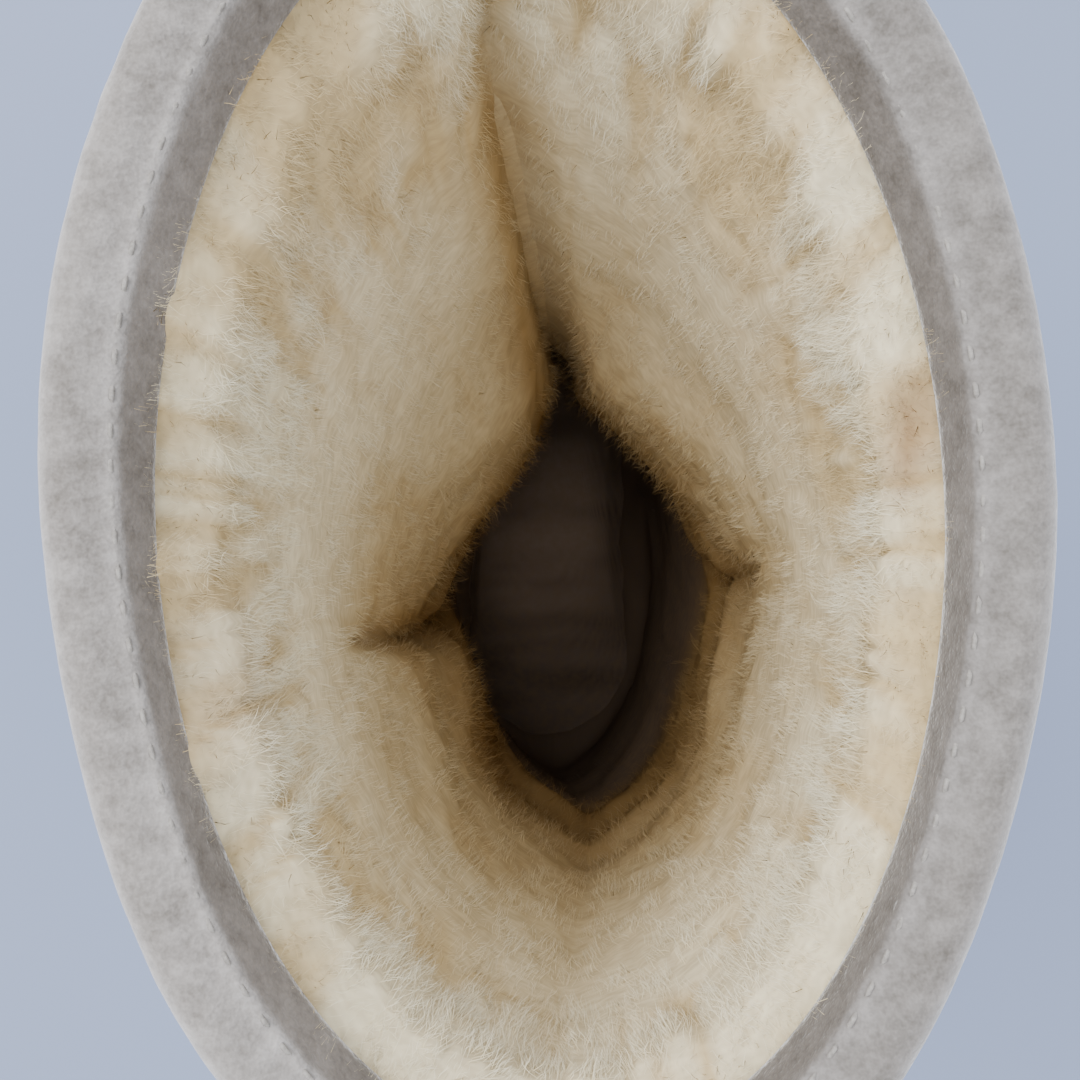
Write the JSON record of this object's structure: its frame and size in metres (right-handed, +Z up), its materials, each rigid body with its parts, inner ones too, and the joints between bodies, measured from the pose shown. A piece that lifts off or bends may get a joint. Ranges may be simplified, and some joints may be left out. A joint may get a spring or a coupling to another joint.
{
  "type": "sheepskin boot",
  "caption": "Short pull-on sheepskin boot in light grey suede with a thick cream fleece lining, a rolled suede collar and a ribbed sole",
  "frame": {"origin": "on the floor under the middle of the heel seat", "axes": "X forward to the toe, Y to the wearer's left, Z up"},
  "size_m": [0.2707, 0.1035, 0.245],
  "materials": {
    "suede": "matte napped suede",
    "fleece": "deep wool pile",
    "sole_foam": "matte moulded foam"
  },
  "bodies": {
    "root": {"outsole": "sole_foam", "upper": "suede", "heel_counter": "suede", "back_stay": "suede", "collar_binding": "suede", "fleece_lining": "fleece", "insole": "fleece"}
  },
  "joints": []
}
